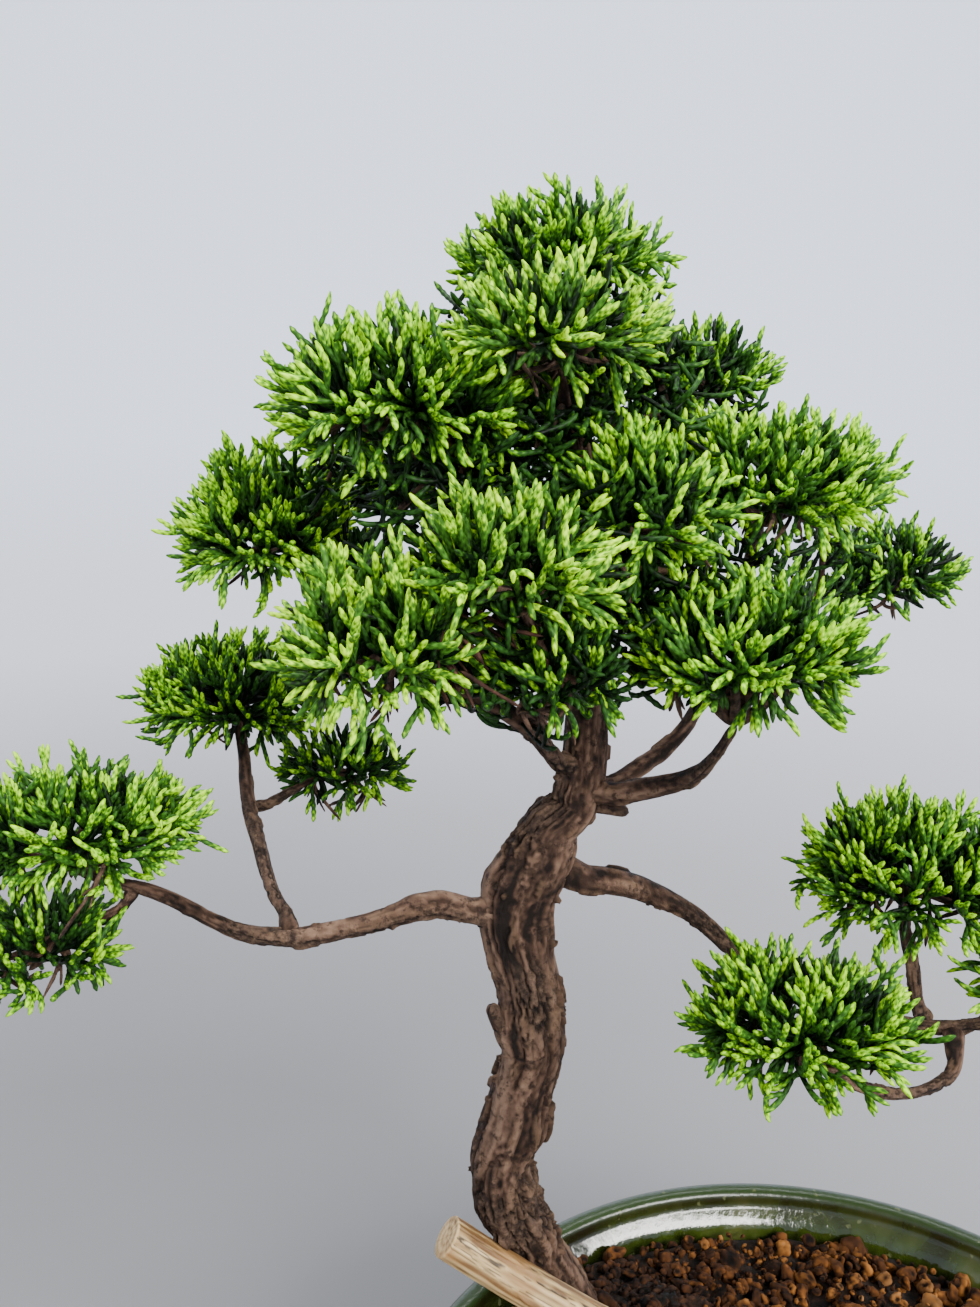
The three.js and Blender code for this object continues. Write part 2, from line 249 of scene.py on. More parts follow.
brown = mix(tree, breaking, body_colour, (0.012, 0.008, 0.003))
crest = map_range(tree, height, From_Min=pot_high.z - 1.6 * MM, From_Max=pot_high.z - 0.4 * MM)
specks = ramp(tree, noise(tree, place, 420, 3, 0.5), [(0.66, 0.0), (0.72, 0.7)])
speckled = mix(tree, specks, mix(tree, crest, brown, (0.018, 0.036, 0.008)), (0.110, 0.120, 0.050))
tree.links.new(speckled, shader.inputs["Base Color"])
dulled = map_range(tree, broken, To_Min=glossy, To_Max=worn)
tree.links.new(dulled, shader.inputs["Roughness"])
tree.links.new(map_range(tree, broken, To_Min=coat, To_Max=0.0), shader.inputs["Coat Weight"])
bump(tree, shader, noise(tree, streaks, 190, 5, 0.6), 0.0012, 0.30)

bare_clay, tree, shader = start_material("bare_stoneware", Roughness=0.85)
place = object_place(tree)
tree.links.new(ramp(tree, noise(tree, place, 700, 6, 0.7), [
    (0.25, (0.10, 0.055, 0.032)), (0.5, (0.20, 0.125, 0.078)), (0.75, (0.27, 0.185, 0.125)),
]), shader.inputs["Base Color"])
bump(tree, shader, noise(tree, place, 1500, 3), 0.0002, 0.6)

pot_corners = np.array([corner.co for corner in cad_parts["pot"].data.vertices])
from_axis = np.hypot(pot_corners[:, 0], pot_corners[:, 1])
underside = from_axis[pot_corners[:, 2] < 0.1 * MM]
foot_radius = underside.max()
drilled = underside[(underside > 1 * MM) & (underside < foot_radius - 1 * MM)]
drain_radius = (drilled.max() - drilled.min()) / 2
foot_height = pot_corners[pot_corners[:, 2] > 0.1 * MM, 2].min()
floor_top = pot_corners[from_axis < 0.1 * MM, 2].max()
foot_edge = 0.8 * MM
bead = 2.6 * MM  # radius of the rolled lip
lip_middle = (lip_radius - bead, pot_high.z - bead)
inner_wall = lip_radius - 10.1 * MM
pot_sides = 192
outside = [
    (0, 0), (foot_radius - foot_edge, 0), (foot_radius, foot_edge),
    (foot_radius, foot_height - foot_edge), (foot_radius + 0.6 * MM, foot_height),
    (foot_radius + 4 * MM, foot_height + 0.3 * MM), (foot_radius + 16 * MM, 8.5 * MM),
    (foot_radius + 26 * MM, 17 * MM), (foot_radius + 33 * MM, 28 * MM),
    (foot_radius + 37.2 * MM, 42 * MM), (foot_radius + 39.3 * MM, 56 * MM),
    (foot_radius + 40.2 * MM, 67 * MM), (foot_radius + 41.2 * MM, 72 * MM),
]
bead_turn = np.radians(np.linspace(-50, 196, 12))
bead_across, bead_up = np.cos(bead_turn), np.sin(bead_turn)
squared = np.maximum(np.abs(bead_across), np.abs(bead_up)) ** 0.35  # fills the bead's corners a little
lip = np.stack([lip_middle[0] + bead * bead_across / squared,
                lip_middle[1] + bead * bead_up / squared], 1)
lip = np.minimum(lip, (lip_radius, pot_high.z)).tolist()
inside = [
    (lip_radius - 5.3 * MM, pot_high.z - 3.6 * MM), (lip_radius - 6.3 * MM, pot_high.z - 4.6 * MM),
    (lip_radius - 8.8 * MM, pot_high.z - 7.4 * MM), (lip_radius - 9.8 * MM, pot_high.z - 10.5 * MM),
    (inner_wall, pot_high.z - 22 * MM), (lip_radius - 13 * MM, pot_high.z - 40 * MM),
    (lip_radius - 22 * MM, pot_high.z - 56 * MM), (lip_radius - 35 * MM, pot_high.z - 66.5 * MM),
    (foot_radius - 8 * MM, floor_top), (0, floor_top),
]
profile = smooth_curve(outside + lip + inside, 1.1 * MM, 2)
profile[0, 0] = profile[-1, 0] = 0
turn = np.linspace(0, 2 * math.pi, pot_sides, endpoint=False)
rings = profile[1:-1]
wobble = 1 + 0.0016 * np.sin(3 * turn + 1.0) + 0.0008 * np.sin(7 * turn)  # thrown by hand
wobble_from = 30 * MM  # the height at which the wobble is full; there is none at the foot
radius = rings[:, :1] * (1 + (wobble[None, :] - 1) * np.clip(rings[:, 1:] / wobble_from, 0, 1))
points = turned_points(radius, rings[:, 1:], turn)
points = np.concatenate([points, [[0, 0, 0], [0, 0, floor_top]]])
quads = ring_faces(len(rings), pot_sides)
fans = closing_fans(len(rings), pot_sides)
pot = add_piece("glazed_bowl", points, quads, fans, glaze, ["pot"])
for i in range(3):
    over_hole = box_middle(f"drain_mesh_{i + 1}")
    bpy.ops.mesh.primitive_cylinder_add(vertices=32, radius=drain_radius, depth=0.05)
    drill = bpy.context.object
    drill.location = (over_hole.x, over_hole.y, 0)
    cut = pot.modifiers.new("drain_hole", "BOOLEAN")
    cut.operation = "DIFFERENCE"
    cut.object = drill
    bpy.context.view_layer.objects.active = pot
    bpy.ops.object.modifier_apply(modifier=cut.name)
    bpy.data.objects.remove(drill)
pot.data.materials.append(bare_clay)
for face in pot.data.polygons:
    middle = face.center
    out = math.hypot(middle.x, middle.y)
    on_foot = middle.z < foot_height + 0.9 * MM and out < foot_radius + 5 * MM
    in_drain = middle.z < floor_top - 0.1 * MM and out < foot_radius - 8 * MM
    if on_foot or in_drain:
        face.material_index = 1


# ---- Drainage mesh ------------------------------------------------------------------------
# Squares of moulded black plastic mesh that lie loose over the drain holes, under the soil.
# They keep their own shape and get a scuffed, slightly dusty plastic.

mesh_plastic, tree, shader = start_material("drain_mesh_plastic", Roughness=0.55)
place = object_place(tree)
tree.links.new(ramp(tree, noise(tree, place, 500, 5), [
    (0.35, (0.012, 0.012, 0.013)), (0.7, (0.045, 0.038, 0.030)),
]), shader.inputs["Base Color"])
bump(tree, shader, noise(tree, place, 2500), 0.0001, 0.4)
for i in range(3):
    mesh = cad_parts[f"drain_mesh_{i + 1}"].data
    mesh.materials.clear()
    mesh.materials.append(mesh_plastic)


# ---- Trunk and branches -------------------------------------------------------------------
# The tree's own wood: a winding trunk that tapers into the crown, with branches growing out of
# swollen collars. Thin red-brown bark splits along the grain, flakes at its edges and goes grey.

def cross_sections(name, spacing):
    """Centres and radii of a stem's CAD solid, from planes across its length: x, y, z, radius."""
    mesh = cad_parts[name].data
    corners = np.zeros(len(mesh.vertices) * 3)
    mesh.vertices.foreach_get("co", corners)
    corners = corners.reshape(-1, 3)
    edges = np.zeros(len(mesh.edges) * 2, np.int32)
    mesh.edges.foreach_get("vertices", edges)
    edges = edges.reshape(-1, 2)
    axes = np.linalg.eigh(np.cov(corners.T))[1]
    height = corners @ axes[:, 2]
    levels = np.arange(height.min() + 0.5 * MM, height.max() - 0.3 * MM, spacing)
    sections = []
    for level in levels:
        below, above = height[edges[:, 0]] - level, height[edges[:, 1]] - level
        crossed = below * above < 0
        share = (below / (below - above))[crossed]
        start, end = corners[edges[crossed]].transpose(1, 0, 2)
        hits = start + (end - start) * share[:, None]
        radius = math.sqrt(2 * np.linalg.eigvalsh(np.cov(hits.T))[1])
        sections.append([*hits.mean(0), radius])
    sections = np.array(sections)
    usual = [np.median(sections[max(0, i - 4):i + 5, 3]) for i in range(len(sections))]
    return sections[sections[:, 3] > 0.84 * np.array(usual)]


def unit(vector):
    """The same direction, one long."""
    return vector / np.linalg.norm(vector)


def blurred(shape, along, around, rng):
    """Noise of unit spread on a wrapped grid, blurred by these many cells each way."""
    grain = np.fft.rfft2(rng.standard_normal(shape))
    k_along = np.fft.fftfreq(shape[0])[:, None] * 2 * math.pi
    k_around = np.fft.rfftfreq(shape[1])[None, :] * 2 * math.pi
    grain *= np.exp(-((k_along * along) ** 2 + (k_around * around) ** 2) / 2)
    field = np.fft.irfft2(grain, shape)
    return (field - field.mean()) / field.std()


def step(values, low, high):
    """A smooth rise from 0 at low to 1 at high."""
    t = np.clip((values - low) / (high - low), 0, 1)
    return t * t * (3 - 2 * t)


def bark_tube(spine, sides, spacing, depth, seed, sawn=False, stretch=1, knobs=()):
    """A closed tube along x, y, z, radius rows, with bark relief: points, faces and masks.

    A knob is its share of the length, its heading, how far it stands out and its width."""
    rng = np.random.default_rng(seed)
    line = smooth_curve(spine, spacing, 3)
    centre, radius = line[:, :3], line[:, 3]
    tangent = np.gradient(centre, axis=0)
    tangent /= np.linalg.norm(tangent, axis=1)[:, None]
    across = np.cross(tangent[0], (0.0, 1.0, 0.12))
    normals = []
    for direction in tangent:
        across = across - direction * across.dot(direction)
        across = across / np.linalg.norm(across)
        normals.append(across)
    normal = np.array(normals)
    binormal = np.cross(tangent, normal)
    n = len(line)
    cell = 2 * math.pi * radius.mean() / sides / MM
    pitch = spacing / MM / stretch
    swell = blurred((n, sides), 8 / pitch, 3.2 / cell, rng)
    strips = blurred((n, sides), 6.0 / pitch, 0.60 / cell, rng)
    fibres = blurred((n, sides), 3.0 / pitch, 0.28 / cell, rng)
    plates = blurred((n, sides), 3.0 / pitch, 0.85 / cell, rng)
    chips = blurred((n, sides), 1.4 / pitch, 0.42 / cell, rng)
    crumbs = blurred((n, sides), 0.45 / pitch, 0.25 / cell, rng)
    rough = step(blurred((n, sides), 9 / pitch, 3.5 / cell, rng), -0.7, 0.6)
    wide_crack = step(0.26 - np.abs(strips + 0.25 * crumbs), 0, 0.16) * (0.45 + 0.55 * rough)
    fine_crack = 0.8 * step(0.22 - np.abs(fibres + 0.2 * chips), 0, 0.16) * (0.3 + 0.7 * rough)
    crack = np.maximum(wide_crack, fine_crack)
    flake = step(plates + 0.35 * crumbs + 0.3 * strips, 0.55, 0.75) * rough
    peel = step(chips + 0.5 * plates, 1.9, 2.0)
    edge = 4 * flake * (1 - flake)
    turn = np.linspace(0, 2 * math.pi, sides, endpoint=False)[None, :]
    flute = np.sin(2 * turn + np.linspace(0, 2.5, n)[:, None] + seed)
    relief = 0.45 * swell + 0.35 * flute + 0.5 * flake + 1.1 * peel - 1.1 * crack
    relief = relief + 0.2 * step(strips, 0.2, 0.5)
    relief = relief + (0.16 * fibres + 0.10 * crumbs) * (0.3 + 0.7 * rough)
    full_relief_radius = 7 * MM
    size = np.clip(radius / full_relief_radius, 0.2, 1)[:, None]
    reach = radius[:, None] + depth * relief * size
    ends = np.ones(n)
    cap = np.arange(4)
    ends[:4] = np.sqrt(1 - (1 - cap / 4) ** 2) * 0.999 + 0.001
    if sawn:
        centre[-6:] = centre[-6]
        ends[-6:] = np.linspace(1, 0.02, 6)
        crack[-6:] = step(np.abs(blurred((1, sides), 1, 1.2, rng)), 0.12, 0.02)
        strips[-6:] = 1.2 * np.cos(np.arange(6) * math.pi)[:, None]
    else:
        ends[-4:] = ends[:4][::-1]
    reach = reach * ends[:, None]
    points = centre[:, None] + reach[..., None] * (
        np.cos(turn)[..., None] * normal[:, None] + np.sin(turn)[..., None] * binormal[:, None])
    for share, heading, rise, width in knobs:
        at = int(share * (n - 1))
        knob = centre[at] + unit(np.array(heading)) * radius[at]
        push = rise * np.exp(-(np.linalg.norm(points - knob, axis=2) / width) ** 2)
        points = points + push[..., None] * (points - centre[:, None]) / radius[:, None, None]
    points = points.reshape(-1, 3)
    tip = centre[-1:] + tangent[-1:] * radius[-1] * (0 if sawn else 0.2)
    points = np.concatenate([points, centre[:1] - tangent[:1] * radius[0] * 0.2, tip])
    lifted = np.clip(0.5 * flake + 0.7 * edge + peel, 0, 1)
    grain = np.clip(0.5 + 0.13 * strips + 0.09 * fibres + 0.09 * crumbs, 0, 1)
    masks = {
        "crack": np.append(crack.ravel(), [0, 0]), "flake": np.append(lifted.ravel(), [0, 0]),
        "weather": np.append(rough.ravel(), [0.5, 0.5]), "grain": np.append(grain.ravel(), [0.5, 0.5]),
    }
    return points, ring_faces(n, sides), closing_fans(n, sides), masks


def add_tubes(name, tubes, material, nodes):
    """Several tubes as one piece, with their masks."""
    points, quads, triangles, masks = [], [], [], {}
    count = 0
    for tube_points, tube_quads, tube_triangles, tube_masks in tubes:
        points.append(tube_points)
        quads.append(tube_quads + count)
        triangles.append(tube_triangles + count)
        for mask, values in tube_masks.items():
            masks.setdefault(mask, []).append(values)
        count += len(tube_points)
    points, quads, triangles = map(np.concatenate, (points, quads, triangles))
    piece = add_piece(name, points, quads, triangles, material, nodes)
    for mask, values in masks.items():
        set_mask(piece, mask, np.concatenate(values))


def point_mask(tree, name):
    """A mask that bark_tube left on the points."""
    return node(tree, "ShaderNodeAttribute", attribute_name=name).outputs["Fac"]


bark, tree, shader = start_material("juniper_bark", Roughness=0.72, Specular_IOR_Level=0.22)
place = object_place(tree)
live = ramp(tree, point_mask(tree, "grain"), [
    (0.22, (0.008, 0.004, 0.002)), (0.42, (0.060, 0.031, 0.019)), (0.60, (0.135, 0.076, 0.049)),
    (0.85, (0.230, 0.140, 0.090)),
])
grey = ramp(tree, noise(tree, place, 600, 6, 0.75), [
    (0.38, (0.012, 0.007, 0.005)), (0.52, (0.090, 0.055, 0.036)), (0.66, (0.210, 0.135, 0.086)),
])
greyed = ramp(tree, point_mask(tree, "weather"), [(0.2, 0.0), (0.9, 0.65)])
aged = mix(tree, greyed, live, grey)
lifted = ramp(tree, point_mask(tree, "flake"), [(0.2, 0.0), (1.0, 0.45)])
flaked = mix(tree, lifted, aged, (0.190, 0.110, 0.062))
split = mix(tree, point_mask(tree, "crack"), flaked, (0.003, 0.002, 0.001))
spots = ramp(tree, noise(tree, place, 420, 6, 0.7), [(0.52, 0.0), (0.62, 0.8)])
spotted = mix(tree, spots, split, (0.012, 0.006, 0.004))
height = node(tree, "ShaderNodeSeparateXYZ", {"Vector": place}).outputs["Z"]
# The bark darkens over the last few millimetres down to the soil line.
towards_soil = map_range(tree, height, From_Min=pot_high.z + 5 * MM, From_Max=pot_high.z - 3 * MM)
darker_at_soil = mix(tree, 1.0, spotted, (0.30, 0.26, 0.27), "MULTIPLY")
tree.links.new(mix(tree, towards_soil, spotted, darker_at_soil), shader.inputs["Base Color"])
bump(tree, shader, noise(tree, place, 1100, 7, 0.75), 0.0009, 1.0)

parents = {
    "first_left_branch": "trunk", "low_left_twig": "first_left_branch",
    "left_riser": "first_left_branch", "left_riser_twig": "left_riser",
    "first_right_branch": "trunk", "right_riser": "first_right_branch",
    "right_return": "first_right_branch", "right_middle_branch": "trunk",
    "right_back_branch": "trunk", "far_right_branch": "right_back_branch",
    "front_left_branch": "trunk", "front_branch": "front_left_branch",
    "left_middle_branch": "trunk", "upper_left_branch": "trunk", "crown_front_branch": "trunk",
    "upper_right_branch": "trunk", "upper_back_branch": "trunk", "inner_right_branch": "trunk",
    "back_left_branch": "trunk", "back_right_branch": "trunk",
}
trunk_spine = cross_sections("trunk", 4 * MM)
trunk_spine = smooth_curve(trunk_spine[np.argsort(trunk_spine[:, 2])], 3 * MM, 1)
above_lip = (trunk_spine[:, 2] - pot_high.z) / MM
bend_heights = (5, 25, 45, 60, 74, 88, 101, 112, 123, 132)
bends = (-3.4, -3.0, -3.0, 0.5, 2.2, -1.0, -2.7, -1.5, -1.9, 0)
trunk_spine[:, 0] += MM * np.interp(above_lip, bend_heights, bends)
trunk_spine[:, 3] *= np.interp(above_lip, (0, 16, 36), (0.84, 0.84, 1))  # slimmer at its foot
spines = {"trunk": trunk_spine}
for name, parent in parents.items():
    spine = cross_sections(name, 2.4 * MM)
    stem = spines[parent][:, :3]
    first, final = (np.linalg.norm(stem - spine[end, :3], axis=1).min() for end in (0, -1))
    if final < first:
        spine = spine[::-1]
    thick = spine[1:4, 3].max()
    nearest = stem[np.argmin(np.linalg.norm(stem - spine[0, :3], axis=1))]
    collar = nearest * 0.45 + spine[1, :3] * 0.55
    spines[name] = np.concatenate([
        [[*nearest, thick * 1.5]], [[*collar, thick * 1.3]], spine[1:]])

up = np.array([0.0, 0.0, 1.0])


def side_stub(height, heading, steps):
    """A short stub on the trunk: rows of centre and radius out along a heading from the bark."""
    start = trunk_spine[np.argmin(np.abs(trunk_spine[:, 2] - pot_high.z - height * MM))]
    heading = unit(np.array(heading))
    rows = []
    for out, rise, radius in steps:
        middle = start[:3] + heading * (start[3] + out * MM) + up * rise * MM
        rows.append(np.append(middle, radius * MM))
    return np.array(rows)


broken_stub = side_stub(76, (-1, -0.5, 0), [(-2, 0, 2.0), (1.5, 4, 1.6), (3.5, 9.5, 1.4)])
spur = side_stub(126, (1, -0.2, 0), [(-2, 0, 1.9), (2.5, -0.8, 1.5), (6, -1.5, 1.2)])
trunk_rise = (trunk_spine[-1, 2] - trunk_spine[0, 2]) / MM
lip_level = (pot_high.z - trunk_spine[0, 2]) / MM
trunk_knobs = [
    ((height + lip_level) / trunk_rise, heading, swell * MM, width * MM)
    for height, heading, swell, width in (
        (101, (1, -0.4, 0), 2.2, 4.5), (80, (-1, -0.4, 0), 1.6, 4.0), (110, (-1, -0.3, 0), 1.4, 6.0),
        (56, (1, -0.6, 0), 1.1, 5.0), (120, (-1, -0.6, 0), 1.2, 3.0), (36, (-0.6, -1, 0), 0.9, 5.0))
]
trunk_tubes = [bark_tube(trunk_spine, 144, 0.42 * MM, 0.95 * MM, 3, knobs=trunk_knobs)]
for number, stub in enumerate((broken_stub, spur)):
    trunk_tubes.append(bark_tube(stub, 24, 0.4 * MM, 1.6 * MM, 8 + number))
add_tubes("bark_of_trunk", trunk_tubes, bark, ["trunk"])
branch_tubes = []
for number, name in enumerate(parents):
    thickness = spines[name][:, 3].mean() / MM
    sides = 20 + int(8 * thickness)
    branch_tubes.append(bark_tube(spines[name], sides, 0.5 * MM, 1.3 * MM, 20 + number))
add_tubes("bark_of_branches", branch_tubes, bark, list(parents))


# ---- Surface root -------------------------------------------------------------------------
# A thick root that leaves the foot of the trunk and runs over the soil before it goes under.
# It is wet and dark, with soil in its creases.

wet_bark, tree, shader = start_material("wet_root_bark", Roughness=0.62, Specular_IOR_Level=0.25)
place = object_place(tree)
tree.links.new(ramp(tree, noise(tree, place, 240, 7, 0.7), [
    (0.38, (0.001, 0.001, 0.000)), (0.50, (0.018, 0.007, 0.003)), (0.64, (0.085, 0.034, 0.013)),
]), shader.inputs["Base Color"])
bump(tree, shader, noise(tree, place, 700, 6, 0.75), 0.0012, 1.0)
root_spine = cross_sections("surface_root", 3 * MM)
root_spine[:, 2] -= 2.2 * MM
root_tube = bark_tube(root_spine, 72, 0.4 * MM, 2.6 * MM, 71)
add_tubes("wet_surface_root", [root_tube], wet_bark, ["surface_root"])


# ---- Deadwood stick -----------------------------------------------------------------------
# A cut length of bleached branch pushed into the soil in front of the trunk. The bark is gone,
# and the pale wood is checked along the grain, with a flat sawn end.

bone_wood, tree, shader = start_material("bleached_wood", Roughness=0.62)
place = object_place(tree)
pale = ramp(tree, point_mask(tree, "grain"), [
    (0.22, (0.140, 0.070, 0.022)), (0.46, (0.400, 0.265, 0.110)), (0.75, (0.640, 0.470, 0.240)),
])
stains = ramp(tree, noise(tree, place, 70, 5), [(0.46, 0.0), (0.66, 0.6)])
stained = mix(tree, stains, pale, (0.300, 0.150, 0.045))
checks = ramp(tree, point_mask(tree, "crack"), [(0.3, 0.0), (1.0, 0.9)])
tree.links.new(mix(tree, checks, stained, (0.012, 0.006, 0.003)), shader.inputs["Base Color"])
bump(tree, shader, noise(tree, place, 1400, 6, 0.65), 0.0002, 0.6)
stick_spine = cross_sections("deadwood_stick", 4 * MM)
stick_spine = stick_spine[np.argsort(stick_spine[:, 2])]
stick_spine[-1] = 3.0 * stick_spine[-2] - 2.0 * stick_spine[-3]
stick_spine[-1, 3] = stick_spine[-3, 3]
stick_tube = bark_tube(stick_spine, 96, 0.5 * MM, 0.5 * MM, 58, sawn=True, stretch=3.5)
add_tubes("weathered_stick", [stick_tube], bone_wood, ["deadwood_stick"])


# ---- Foliage ------------------------------------------------------------------------------
# Each cluster is a spray of juniper cords: thin stems clothed in overlapping scale leaves set
# in crossed pairs. They grow from a few woody twigs, fan outwards and end in yellow-green tips.

leaf_colour = bpy.data.node_groups.new("scale_leaf_colour", "ShaderNodeTree")
for name, default in (("Tip", (0.55, 0.74, 0.07, 1)), ("Young", (0.20, 0.46, 0.03, 1)),
                      ("Grown", (0.045, 0.20, 0.03, 1)), ("Old", (0.008, 0.035, 0.014, 1))):
    socket = leaf_colour.interface.new_socket(name=name, in_out="INPUT",
                                              socket_type="NodeSocketColor")
    socket.default_value = default
leaf_colour.interface.new_socket(name="Age and Ridge", in_out="INPUT",
                                 socket_type="NodeSocketVector")
leaf_colour.interface.new_socket(name="Color", in_out="OUTPUT", socket_type="NodeSocketColor")

# The ridge value shifts a leaf's age, so that the margins of a scale look younger than its keel.
given = leaf_colour.nodes.new("NodeGroupInput")
result = leaf_colour.nodes.new("NodeGroupOutput")
parts = node(leaf_colour, "ShaderNodeSeparateXYZ", {"Vector": given.outputs["Age and Ridge"]})
margin = map_range(leaf_colour, parts.outputs["Y"], To_Min=-0.09, To_Max=0.11)
shifted = node(leaf_colour, "ShaderNodeMath", {0: parts.outputs["X"], 1: margin}, operation="ADD")
colour = given.outputs["Tip"]
for name, low, high in (("Young", 0.05, 0.12), ("Grown", 0.12, 0.22), ("Old", 0.27, 0.52)):
    share = map_range(leaf_colour, shifted.outputs[0], From_Min=low, From_Max=high)
    colour = mix(leaf_colour, share, colour, given.outputs[name])
groove = map_range(leaf_colour, parts.outputs["Y"], To_Min=1.25, To_Max=0.70)
darkened = node(leaf_colour, "ShaderNodeVectorMath", {0: colour, "Scale": groove}, operation="SCALE")
leaf_colour.links.new(darkened.outputs["Vector"], result.inputs["Color"])


def leaf_material(name, **colours):
    """Scale leaves in four colours, from the tip back to the old wood."""
    material, tree, shader = start_material(name, Roughness=0.48, Specular_IOR_Level=0.14)
    group = node(tree, "ShaderNodeGroup", node_tree=leaf_colour)
    for socket, colour in colours.items():
        group.inputs[socket].default_value = (*colour, 1)
    uv = node(tree, "ShaderNodeUVMap", uv_map="OFBake").outputs["UV"]
    tree.links.new(uv, group.inputs["Age and Ridge"])
    tree.links.new(group.outputs["Color"], shader.inputs["Base Color"])
    return material


# Lit and shaded copies of one leaf colour: the sunlit leaves carry painted light, the half-lit and
# shaded ones painted shade, by where each cluster sits in the crown. In each, Old is near black: partly
# the old leaves' own dark green, partly painted shade deep inside the clusters.
sunlit = leaf_material("sunlit_leaves", Tip=(0.54, 0.92, 0.001), Young=(0.28, 0.60, 0.002),
                       Grown=(0.050, 0.160, 0.014), Old=(0.002, 0.009, 0.002))
half_lit = leaf_material("half_lit_leaves", Tip=(0.46, 0.86, 0.001), Young=(0.20, 0.50, 0.002),
                           Grown=(0.034, 0.120, 0.011), Old=(0.001, 0.007, 0.001))
shaded = leaf_material("shaded_leaves", Tip=(0.34, 0.68, 0.002), Young=(0.11, 0.32, 0.002),
                       Grown=(0.018, 0.070, 0.008), Old=(0.001, 0.005, 0.001))

clusters = {
    "crown_front": ("crown_front_branch", sunlit), "crown_back": ("trunk", half_lit),
    "centre_front": ("front_branch", sunlit), "left_front": ("front_left_branch", sunlit),
    "upper_left": ("upper_left_branch", half_lit), "right_inner": ("inner_right_branch", half_lit),
    "right_middle": ("right_middle_branch", half_lit), "centre_low": ("front_branch", shaded),
    "right_upper": ("right_back_branch", half_lit), "upper_right": ("upper_right_branch", shaded),
    "far_right": ("far_right_branch", shaded), "left_middle": ("left_middle_branch", half_lit),
    "back_left": ("back_left_branch", shaded), "back_right": ("back_right_branch", shaded),
    "back_upper": ("upper_back_branch", shaded), "left_back": ("left_riser", shaded),
    "left_back_inner": ("left_riser_twig", shaded), "left_low": ("first_left_branch", half_lit),
    "left_droop": ("low_left_twig", shaded), "right_low_front": ("right_return", half_lit),
    "right_low_back": ("right_riser", half_lit), "right_low_outer": ("first_right_branch", half_lit),
}
cord_sides = 8
scale_pitch = 0.80 * MM  # from one pair of scale leaves to the next
cord_radius = 0.45 * MM
side_turn = np.linspace(0, 2 * math.pi, cord_sides, endpoint=False)
age_length = 21 * MM  # behind the tip, where the leaves are fully old
golden_turn = 2.39996  # radians from one cord to the next, which spreads them evenly


def bezier(a, b, c, d, count):
    """Points along a curve from a to d that is pulled towards b and c."""
    t = np.linspace(0, 1, count)[:, None]
    return a * (1 - t) ** 3 + 3 * b * t * (1 - t) ** 2 + 3 * c * t ** 2 * (1 - t) + d * t ** 3


def cord_line(root, lean, tip, final, length, pull, count):
    """Points one scale apart, from the root along lean to the tip along final."""
    line = bezier(root, root + lean * length * pull, tip - final * length * pull, tip, count)
    return smooth_curve(line, scale_pitch, 0)


def leafy_cord(line, thickness, start_age, rng):
    """A cord of scale leaves along a line: ring points, end points, ring count and their UVs."""
    n = len(line)
    tangent = np.gradient(line, axis=0)
    tangent /= np.linalg.norm(tangent, axis=1)[:, None]
    normal = np.cross(tangent, rng.standard_normal(3))
    normal /= np.linalg.norm(normal, axis=1)[:, None]
    binormal = np.cross(tangent, normal)
    pitch = np.linalg.norm(line[-1] - line[-2])
    to_tip = (n - 1 - np.arange(n)) * pitch
    swell = 1 + 0.20 * np.exp(-((to_tip - 2.6 * MM) / (3.0 * MM)) ** 2)
    rounding = np.sqrt(np.clip(1 - (1 - np.clip(to_tip / (1.5 * MM), 0, 1)) ** 2, 0.10, 1))
    radius = thickness * swell * rounding
    pair = (2 * np.arange(n)[:, None] + np.arange(cord_sides)[None, :]) % 4
    ridge = np.choose(pair, [1.0, 0.45, 0.0, 0.45])
    ridge[-1] = 0.8
    reach = radius[:, None] * (0.86 + 0.30 * ridge)
    points = line[:, None] + reach[..., None] * (
        np.cos(side_turn)[:, None] * normal[:, None] + np.sin(side_turn)[:, None] * binormal[:, None])
    age = np.clip(to_tip / age_length + start_age, 0.004, 0.996)
    uv = np.stack([np.repeat(age, cord_sides), np.clip(ridge.ravel(), 0.02, 0.98)], 1)
    ends = np.stack([line[0] - tangent[0] * radius[0] * 0.5, line[-1] + tangent[-1] * radius[-1] * 0.5])
    end_uv = [[age[0], 0.5], [age[-1], 0.9]]
    return points.reshape(-1, 3), ends, n, uv, end_uv


def scale_faces(rings):
    """Triangles between the rings of a cord, split so that each scale leaf is a symmetric point."""
    quads = ring_faces(rings, cord_sides).reshape(-1, cord_sides, 4)
    even, odd = quads[:, ::2], quads[:, 1::2]
    triangles = (even[..., [0, 1, 2]], even[..., [0, 2, 3]],
                 odd[..., [0, 1, 3]], odd[..., [1, 2, 3]])
    return np.concatenate([part.reshape(-1, 3) for part in triangles])


class Spray:
    """Gathers the cords of one piece into one mesh."""

    def __init__(self):
        self.points, self.triangles, self.uvs, self.count = [], [], [], 0

    def add(self, line, thickness, start_age, rng):
        """One more cord; its age at the tip runs from 0, just out, to 1."""
        points, ends, n, uv, end_uv = leafy_cord(line, thickness, start_age, rng)
        self.triangles += [scale_faces(n) + self.count, closing_fans(n, cord_sides) + self.count]
        self.points += [points, ends]
        self.uvs += [uv, end_uv]
        self.count += len(points) + len(ends)


def add_leaves(name, spray, material, nodes=()):
    """A piece from a whole spray."""
    points, triangles, uv = map(np.concatenate, (spray.points, spray.triangles, spray.uvs))
    set_uv(add_piece(name, points, [], triangles, material, nodes), uv)


area_per_tuft = 80 * MM ** 2
area_per_cord = 24 * MM ** 2
shoot_spacing = 4.2 * MM
forking_length = 7.5 * MM  # a side shoot longer than this forks once
shortest_twig = 2 * MM
twig_tubes = []


def add_twig(corners, radii):
    """A leaf-bearing twig through three points, kept for the piece of all leafy twigs."""
    row = np.column_stack([np.stack(corners), np.array(radii) * MM])
    twig_tubes.append(bark_tube(row, 10, 0.7 * MM, 0.9 * MM, 900 + len(twig_tubes)))


